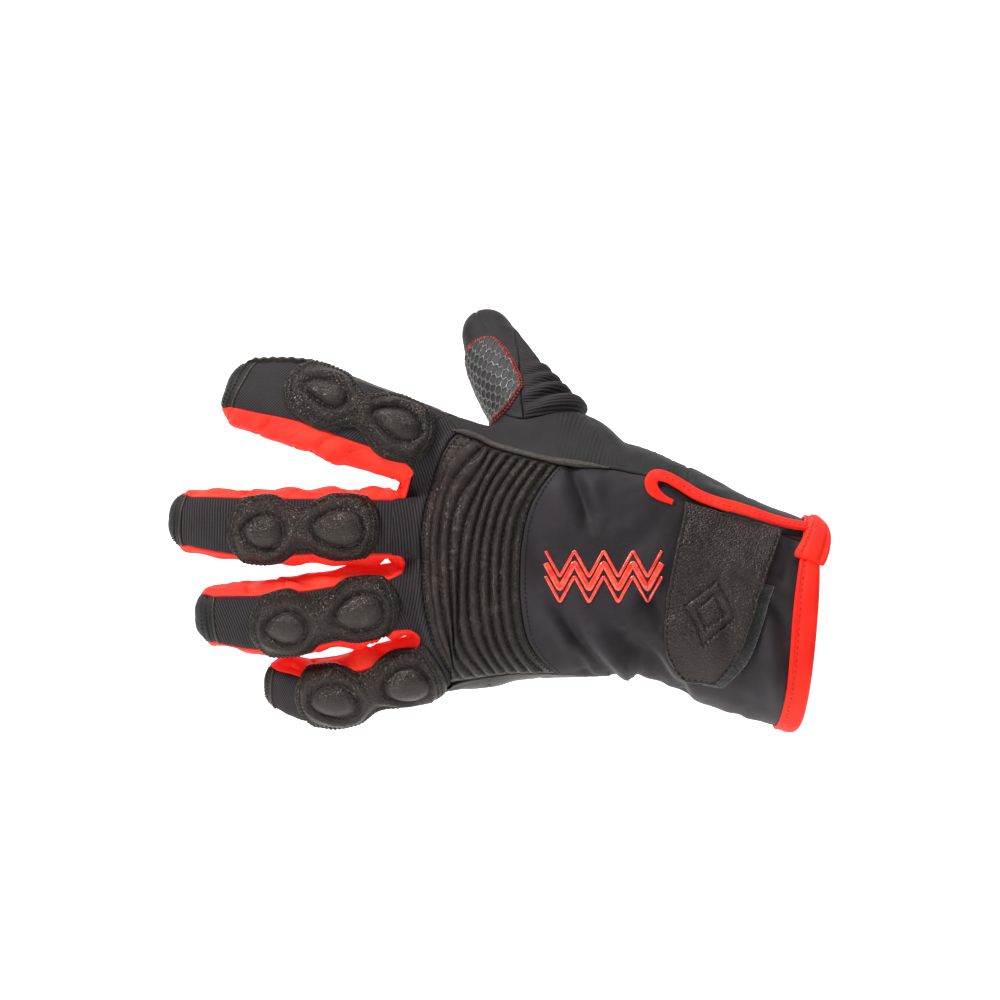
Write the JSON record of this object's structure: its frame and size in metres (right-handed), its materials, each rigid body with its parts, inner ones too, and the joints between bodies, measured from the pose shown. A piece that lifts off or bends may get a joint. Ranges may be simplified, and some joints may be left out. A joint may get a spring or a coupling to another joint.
{
  "type": "climbing glove",
  "caption": "Left-hand insulated climbing glove with ribbed leather knuckle panel, padded finger domes, red finger gussets, grip patch and a wrist strap.",
  "frame": {"origin": "centre of the wrist opening, at the level of the middle of its edge", "axes": "+X out of the wrist opening, along the forearm and away from the fingers, +Y out of the palm, +Z towards the thumb side"},
  "size_m": [0.2534, 0.0864, 0.1691],
  "materials": {
    "knit": "black ribbed stretch knit, matt",
    "softshell": "charcoal softshell cloth with a slight purple cast, matt",
    "leather": "dark goat leather, fine grain, satin",
    "palm_leather": "black palm leather, fine grain, satin",
    "red_fabric": "bright red-orange stretch cloth and binding",
    "grip": "dark cloth with raised glossy six-sided cells",
    "hook": "fuzzy black hook-and-loop tape"
  },
  "bodies": {
    "root": {"index_knit_back": "knit", "index_tip_cap": "leather", "index_palm_side": "palm_leather", "middle_knit_back": "knit", "middle_tip_cap": "leather", "middle_palm_side": "palm_leather", "ring_knit_back": "knit", "ring_tip_cap": "leather", "ring_palm_side": "palm_leather", "little_knit_back": "knit", "little_tip_cap": "leather", "little_palm_side": "palm_leather", "index_middle_gusset": "red_fabric", "middle_ring_gusset": "red_fabric", "ring_little_gusset": "red_fabric", "knuckle_knit": "knit", "ribbed_knuckle_panel": "leather", "back_shell": "softshell", "thumb_knit_back": "knit", "thumb_palm_side": "palm_leather", "thumb_side_panel": "knit", "palm": "palm_leather", "index_knuckle_pad": "leather", "index_outer_dome": "leather", "index_inner_dome": "leather", "middle_knuckle_pad": "leather", "middle_outer_dome": "leather", "middle_inner_dome": "leather", "ring_knuckle_pad": "leather", "ring_outer_dome": "leather", "ring_inner_dome": "leather", "little_knuckle_pad": "leather", "little_outer_dome": "leather", "little_inner_dome": "leather", "thumb_grip_patch": "grip", "wrist_strap": "leather", "strap_hook_strip": "hook", "leather_piping": "leather", "slit_binding": "red_fabric", "cuff_binding": "red_fabric", "cuff_corner_tab": "red_fabric"}
  },
  "joints": []
}
